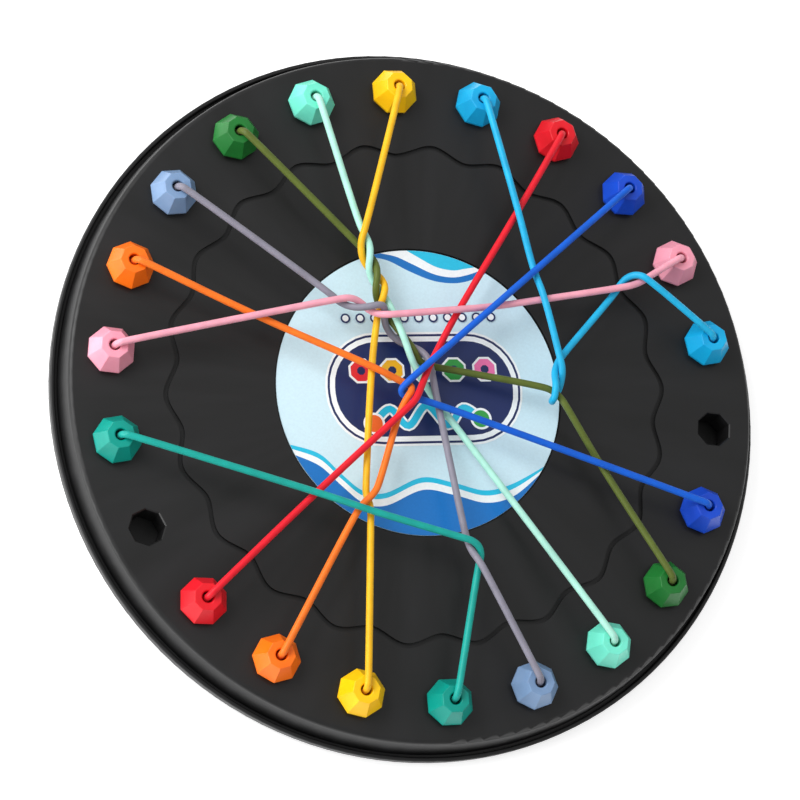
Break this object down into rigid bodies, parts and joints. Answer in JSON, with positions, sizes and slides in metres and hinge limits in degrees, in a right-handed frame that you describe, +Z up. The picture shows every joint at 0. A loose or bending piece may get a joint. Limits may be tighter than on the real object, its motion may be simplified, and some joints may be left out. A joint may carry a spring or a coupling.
{
  "type": "rope untangling board puzzle",
  "caption": "Round tabletop puzzle board with a ring of sockets, gem-headed pegs that lift out, and coloured elastic cords tangled across a picture card.",
  "frame": {"origin": "centre of the round board on the plane of its feet, which is the table top", "axes": "+Z up out of the deck, +Y from the centre to the yellow peg at the top of the ring, sockets numbered clockwise from it"},
  "size_m": [0.25, 0.25, 0.0311],
  "materials": {
    "board_plastic": "satin, lightly grained moulding",
    "card": "printed, semi-gloss laminate",
    "screws": "zinc plated",
    "feet": "matte",
    "peg_yellow": "satin moulded",
    "cord_yellow": "smooth elastic silicone",
    "peg_cyan": "satin moulded",
    "cord_cyan": "smooth elastic silicone",
    "peg_red": "satin moulded",
    "cord_red": "smooth elastic silicone",
    "peg_blue": "satin moulded",
    "cord_blue": "smooth elastic silicone",
    "peg_pink": "satin moulded",
    "cord_pink": "smooth elastic silicone",
    "peg_green": "satin moulded",
    "cord_green": "smooth elastic silicone",
    "peg_mint": "satin moulded",
    "cord_mint": "smooth elastic silicone",
    "peg_grey": "satin moulded",
    "cord_grey": "smooth elastic silicone",
    "peg_teal": "satin moulded",
    "cord_teal": "smooth elastic silicone",
    "peg_orange": "satin moulded",
    "cord_orange": "smooth elastic silicone"
  },
  "bodies": {
    "board": {"top_shell": "board_plastic", "base_shell": "board_plastic", "picture_card": "card", "base_screws": "screws", "rubber_feet": "feet", "cord_yellow": "cord_yellow", "cord_cyan": "cord_cyan", "cord_red": "cord_red", "cord_blue": "cord_blue", "cord_pink": "cord_pink", "cord_green": "cord_green", "cord_mint": "cord_mint", "cord_grey": "cord_grey", "cord_teal": "cord_teal", "cord_orange": "cord_orange"},
    "peg_yellow_a": {"peg_yellow_a": "peg_yellow", "cord_stop_yellow_a": "cord_yellow"},
    "peg_yellow_b": {"peg_yellow_b": "peg_yellow", "cord_stop_yellow_b": "cord_yellow"},
    "peg_cyan_a": {"peg_cyan_a": "peg_cyan", "cord_stop_cyan_a": "cord_cyan"},
    "peg_cyan_b": {"peg_cyan_b": "peg_cyan", "cord_stop_cyan_b": "cord_cyan"},
    "peg_red_a": {"peg_red_a": "peg_red", "cord_stop_red_a": "cord_red"},
    "peg_red_b": {"peg_red_b": "peg_red", "cord_stop_red_b": "cord_red"},
    "peg_blue_a": {"peg_blue_a": "peg_blue", "cord_stop_blue_a": "cord_blue"},
    "peg_blue_b": {"peg_blue_b": "peg_blue", "cord_stop_blue_b": "cord_blue"},
    "peg_pink_a": {"peg_pink_a": "peg_pink", "cord_stop_pink_a": "cord_pink"},
    "peg_pink_b": {"peg_pink_b": "peg_pink", "cord_stop_pink_b": "cord_pink"},
    "peg_green_a": {"peg_green_a": "peg_green", "cord_stop_green_a": "cord_green"},
    "peg_green_b": {"peg_green_b": "peg_green", "cord_stop_green_b": "cord_green"},
    "peg_mint_a": {"peg_mint_a": "peg_mint", "cord_stop_mint_a": "cord_mint"},
    "peg_mint_b": {"peg_mint_b": "peg_mint", "cord_stop_mint_b": "cord_mint"},
    "peg_grey_a": {"peg_grey_a": "peg_grey", "cord_stop_grey_a": "cord_grey"},
    "peg_grey_b": {"peg_grey_b": "peg_grey", "cord_stop_grey_b": "cord_grey"},
    "peg_teal_a": {"peg_teal_a": "peg_teal", "cord_stop_teal_a": "cord_teal"},
    "peg_teal_b": {"peg_teal_b": "peg_teal", "cord_stop_teal_b": "cord_teal"},
    "peg_orange_a": {"peg_orange_a": "peg_orange", "cord_stop_orange_a": "cord_orange"},
    "peg_orange_b": {"peg_orange_b": "peg_orange", "cord_stop_orange_b": "cord_orange"}
  },
  "joints": [
    {"name": "lift_yellow_a", "type": "slide", "parent": "board", "child": "peg_yellow_a", "axis": [0, 0, 1], "range_m": [0, 0.012], "deforming": ["cord_yellow"]},
    {"name": "lift_yellow_b", "type": "slide", "parent": "board", "child": "peg_yellow_b", "axis": [0, 0, 1], "range_m": [0, 0.012], "deforming": ["cord_yellow"]},
    {"name": "lift_cyan_a", "type": "slide", "parent": "board", "child": "peg_cyan_a", "axis": [0, 0, 1], "range_m": [0, 0.012], "deforming": ["cord_cyan"]},
    {"name": "lift_cyan_b", "type": "slide", "parent": "board", "child": "peg_cyan_b", "axis": [0, 0, 1], "range_m": [0, 0.012], "deforming": ["cord_cyan"]},
    {"name": "lift_red_a", "type": "slide", "parent": "board", "child": "peg_red_a", "axis": [0, 0, 1], "range_m": [0, 0.012], "deforming": ["cord_red"]},
    {"name": "lift_red_b", "type": "slide", "parent": "board", "child": "peg_red_b", "axis": [0, 0, 1], "range_m": [0, 0.012], "deforming": ["cord_red"]},
    {"name": "lift_blue_a", "type": "slide", "parent": "board", "child": "peg_blue_a", "axis": [0, 0, 1], "range_m": [0, 0.012], "deforming": ["cord_blue"]},
    {"name": "lift_blue_b", "type": "slide", "parent": "board", "child": "peg_blue_b", "axis": [0, 0, 1], "range_m": [0, 0.012], "deforming": ["cord_blue"]},
    {"name": "lift_pink_a", "type": "slide", "parent": "board", "child": "peg_pink_a", "axis": [0, 0, 1], "range_m": [0, 0.012], "deforming": ["cord_pink"]},
    {"name": "lift_pink_b", "type": "slide", "parent": "board", "child": "peg_pink_b", "axis": [0, 0, 1], "range_m": [0, 0.012], "deforming": ["cord_pink"]},
    {"name": "lift_green_a", "type": "slide", "parent": "board", "child": "peg_green_a", "axis": [0, 0, 1], "range_m": [0, 0.012], "deforming": ["cord_green"]},
    {"name": "lift_green_b", "type": "slide", "parent": "board", "child": "peg_green_b", "axis": [0, 0, 1], "range_m": [0, 0.012], "deforming": ["cord_green"]},
    {"name": "lift_mint_a", "type": "slide", "parent": "board", "child": "peg_mint_a", "axis": [0, 0, 1], "range_m": [0, 0.012], "deforming": ["cord_mint"]},
    {"name": "lift_mint_b", "type": "slide", "parent": "board", "child": "peg_mint_b", "axis": [0, 0, 1], "range_m": [0, 0.012], "deforming": ["cord_mint"]},
    {"name": "lift_grey_a", "type": "slide", "parent": "board", "child": "peg_grey_a", "axis": [0, 0, 1], "range_m": [0, 0.012], "deforming": ["cord_grey"]},
    {"name": "lift_grey_b", "type": "slide", "parent": "board", "child": "peg_grey_b", "axis": [0, 0, 1], "range_m": [0, 0.012], "deforming": ["cord_grey"]},
    {"name": "lift_teal_a", "type": "slide", "parent": "board", "child": "peg_teal_a", "axis": [0, 0, 1], "range_m": [0, 0.012], "deforming": ["cord_teal"]},
    {"name": "lift_teal_b", "type": "slide", "parent": "board", "child": "peg_teal_b", "axis": [0, 0, 1], "range_m": [0, 0.012], "deforming": ["cord_teal"]},
    {"name": "lift_orange_a", "type": "slide", "parent": "board", "child": "peg_orange_a", "axis": [0, 0, 1], "range_m": [0, 0.012], "deforming": ["cord_orange"]},
    {"name": "lift_orange_b", "type": "slide", "parent": "board", "child": "peg_orange_b", "axis": [0, 0, 1], "range_m": [0, 0.012], "deforming": ["cord_orange"]}
  ]
}
